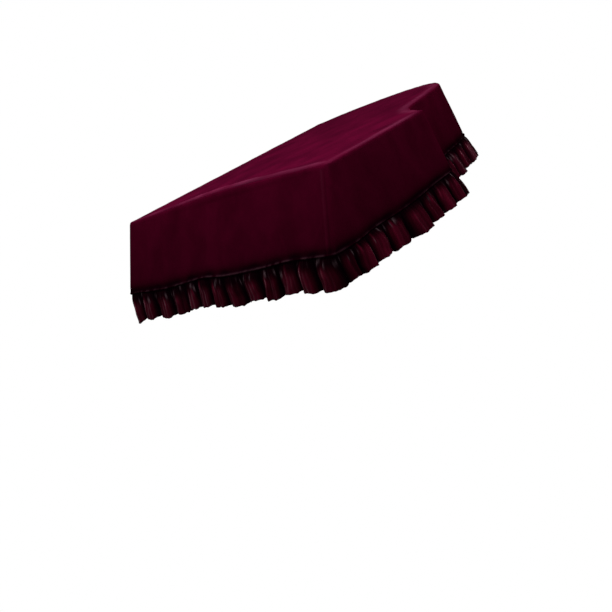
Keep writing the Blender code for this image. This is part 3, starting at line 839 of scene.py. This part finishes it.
def ruffle_points(panel, first, last, ruffle_drop, seed):
    """The face of a ruffle, column by column from the hidden heading down to the free edge, with its pale
    painted highlights and its painted light and shade."""
    lid_length = run_length(LID, first, last)
    length = run_length(HEM, first, last)
    columns = pleat_columns(panel, length, seed)
    place = columns["place"]
    along_hem = place * length
    drawn_in = np.zeros(len(place))
    lower = np.zeros(len(place))
    for name, inward, longer in RUFFLE_CORNERS:
        for corner, end in ((first, 0.0), (last, 1.0)):
            if name == corner:
                near = bump((place - end) * length, CORNER_HALF_WIDTH)
                drawn_in += inward * near
                lower += longer * near
    from_end = np.minimum(place, 1.0 - place) * length
    ends_level = np.clip(from_end / LEVEL_END, 0.0, 1.0)
    ragged = RAGGED * along_noise(along_hem, RAGGED_PITCH, seed + 13)
    ragged += FINE_RAGGED * along_noise(along_hem, FINE_RAGGED_PITCH, seed + 15)
    drop = ruffle_drop + shared_ends(panel, place, length, lambda row, share: row[3])
    drop += columns["longer"] + lower + ragged * ends_level
    # Where the painted shade over the heading starts to lift, and where the pale painted dashes lie and
    # break off.
    shade_from = FRONT_HEADING_SHADE if panel == "front" else HEADING_SHADE
    dashed = broken_up(DASH_HIGHLIGHT_LEVEL, DASH_CONTRAST, along_noise(along_hem, DASH_PITCH, seed + 41))
    dash_down = DASH_DOWN + DASH_UNEVEN * along_noise(along_hem, DASH_UNEVEN_PITCH, seed + 43)

    plan = run(HEM, HEM, first, last, place)
    normal = run(HEM, HEM_OUT, first, last, place)
    normal /= np.linalg.norm(normal, axis=1)[:, None]
    tangent = np.stack([-normal[:, 1], normal[:, 0]], axis=1)
    fold = summed(SKIRT_FOLDS, panel, place, lid_length) * (1.0 - bump(from_end, CALM_END))
    lift = hem_lift(panel, place, lid_length)
    rows, highlights, painted_lights = [], [], []
    for down in np.concatenate([[-1.0], np.linspace(0.0, 1.0, RUFFLE_ROWS)]):
        share = max(down, 0.0)
        opened = eased(np.minimum(1.0, share / columns["opens"]))
        lobe = columns["lobe"] * (LOBE_START + (1.0 - LOBE_START) * share**0.9)
        tucked = HEADING_TUCK * (1 - min(1.0, share / HEADING_TUCK_SHARE)) ** 2
        out = lobe + columns["gathers"] * (1.0 - 0.5 * opened) * ends_level
        out = out - tucked + fold - drawn_in * share
        overhang = columns["overhang"] * opened * (OVERHANG_START + (1.0 - OVERHANG_START) * share)
        along = columns["sway"] * share + overhang
        along = along + columns["curl"] * math.sin(2 * math.pi * CURL_TURNS * share)
        level = plan + normal * out[:, None] + tangent * along[:, None]
        height = lift - SKIRT_DROP + (ALLOWANCE if down < 0 else -drop * share)
        points = raised(level, height)
        wander = WANDER * share * ends_level
        points[:, :2] += normal * (wander * crumple(points, WANDER_OUT_SIZE, seed))[:, None]
        points[:, :2] += tangent * (wander * crumple(points, WANDER_ALONG_SIZE, seed + 3))[:, None]
        rows.append(points)
        # Painted light for each row: pale painted dashes a little below the hem, painted shade over the
        # heading, and a painted highlight on each lobe that narrows downwards with painted shade in the
        # valleys. Painted highlight streaks are added on top.
        highlights.append(DASH_HIGHLIGHT * dashed * bump(share - dash_down, DASH_HALF_HEIGHT))
        shaded = eased(np.clip((share - shade_from) / HEADING_FADE, 0.0, 1.0))
        narrow = columns["wave"] ** (VALLEY_NARROWS * share)
        crest = columns["crest"] * narrow * (HEADING_SHINE + (1.0 - HEADING_SHINE) * shaded)
        on_streak = bump(share - shade_from - columns["streak_down"], STREAK_HALF_HEIGHT)
        painted_lights.append(crest + STREAK_SHINE * columns["streak"] * on_streak)
    inwards = -raised(normal, np.zeros(len(normal)))
    points = turned_in(np.stack(rows, axis=1), inwards[:1, None], inwards[-1:, None])
    return points, repeated_ends(highlights), repeated_ends(painted_lights)


for panel, first, last, ruffle_drop, seed in PANELS:
    points, highlights, painted_lights = ruffle_points(panel, first, last, ruffle_drop, seed)
    frill = cloth_grid(f"{panel}_frill", points, False, RUFFLE_VELVET, RUFFLE_CLOTH, highlights, painted_lights)
    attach(frill, "root")
    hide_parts(f"{panel}_ruffle")


# The plain pale floor, well below the hem. It runs past the camera's view all round.
FLOOR_Z, FLOOR_SIZE = -0.97, 600.0
bpy.ops.object.select_all(action="DESELECT")
bpy.ops.mesh.primitive_plane_add(size=FLOOR_SIZE, location=(0, 0, FLOOR_Z))
floor = bpy.context.object
floor.name = "floor"
floor_paint = bpy.data.materials.new("pale matt floor")
floor_paint.use_nodes = True
floor_paint.node_tree.nodes.clear()
matt = add_node(floor_paint, "ShaderNodeBsdfDiffuse", {"Color": srgb("#c0c0c0")})
blank = add_node(floor_paint, "ShaderNodeEmission", {"Strength": 1.0})
ray = add_node(floor_paint, "ShaderNodeLightPath")
paint = add_node(
    floor_paint,
    "ShaderNodeMixShader",
    None,
    {0: ray.outputs["Is Camera Ray"], 1: matt.outputs[0], 2: blank.outputs[0]},
)
add_node(floor_paint, "ShaderNodeOutputMaterial", None, {"Surface": paint.outputs[0]})
floor.data.materials.append(floor_paint)


# Soft studio light from four round lamps: the key high over the keyboard edge, a weaker one behind the
# bass side that makes the pile shine along the top, a weak fill in front, and the broad side light on the
# treble side. The world around is white to the camera and only a dim even light to the cover.
def soft_light(name, position, aim, size, power):
    """A round area light at a position, turned to what it lights, with its power in watts."""
    lamp = bpy.data.lights.new(name, "AREA")
    lamp.shape = "DISK"
    lamp.size = size
    lamp.energy = power
    item = bpy.data.objects.new(name, lamp)
    bpy.context.scene.collection.objects.link(item)
    item.location = position
    direction = np.array(aim) - np.array(position)
    item.rotation_euler = Vector(direction).to_track_quat("-Z", "Y").to_euler()


soft_light("key", position=(0.3, -0.80, 2.0), aim=(0, -0.5, 0), size=1.4, power=57)
soft_light("back", position=(-2.8, 2.6, 2.2), aim=(0, 0.2, -0.1), size=2.0, power=28)
soft_light("front", position=(-0.6, -3.0, 3.4), aim=(0, -0.7, -0.2), size=1.6, power=12)
soft_light("side", position=(3.6, 0.6, 2.8), aim=(0.7, 0, -0.2), size=1.6, power=84)
world = bpy.data.worlds.new("studio")
bpy.context.scene.world = world
world.use_nodes = True
world.node_tree.nodes.clear()
seen = add_node(world, "ShaderNodeBackground", {"Color": (1.0, 1.0, 1.0, 1.0), "Strength": 1.0})
lit = add_node(world, "ShaderNodeBackground", {"Color": (1.0, 0.99, 0.98, 1.0), "Strength": 0.22})
ray = add_node(world, "ShaderNodeLightPath")
around = add_node(
    world,
    "ShaderNodeMixShader",
    None,
    {0: ray.outputs["Is Camera Ray"], 1: lit.outputs[0], 2: seen.outputs[0]},
)
add_node(world, "ShaderNodeOutputWorld", None, {"Surface": around.outputs[0]})
bpy.context.scene.view_settings.view_transform = "Standard"


# The camera, low on the treble side and rolled over as in the photograph.
CAMERA_AT = (3.3477, -2.3874 - LID_MIDDLE_Y, 0.392 + CLOTH)
CAMERA_YAW = math.radians(52.17)
CAMERA_PITCH = math.radians(13.68)
CAMERA_ROLL = math.radians(24.21)
SENSOR_WIDTH, LENS = 36.0, 55.57
camera_data = bpy.data.cameras.new("camera")
camera_data.sensor_width = SENSOR_WIDTH
camera_data.lens = LENS
camera = bpy.data.objects.new("camera", camera_data)
bpy.context.scene.collection.objects.link(camera)
turn = Matrix.Rotation(CAMERA_YAW, 4, "Z") @ Matrix.Rotation(math.pi / 2 - CAMERA_PITCH, 4, "X")
camera.matrix_world = Matrix.Translation(CAMERA_AT) @ turn @ Matrix.Rotation(-CAMERA_ROLL, 4, "Z")
bpy.context.scene.camera = camera
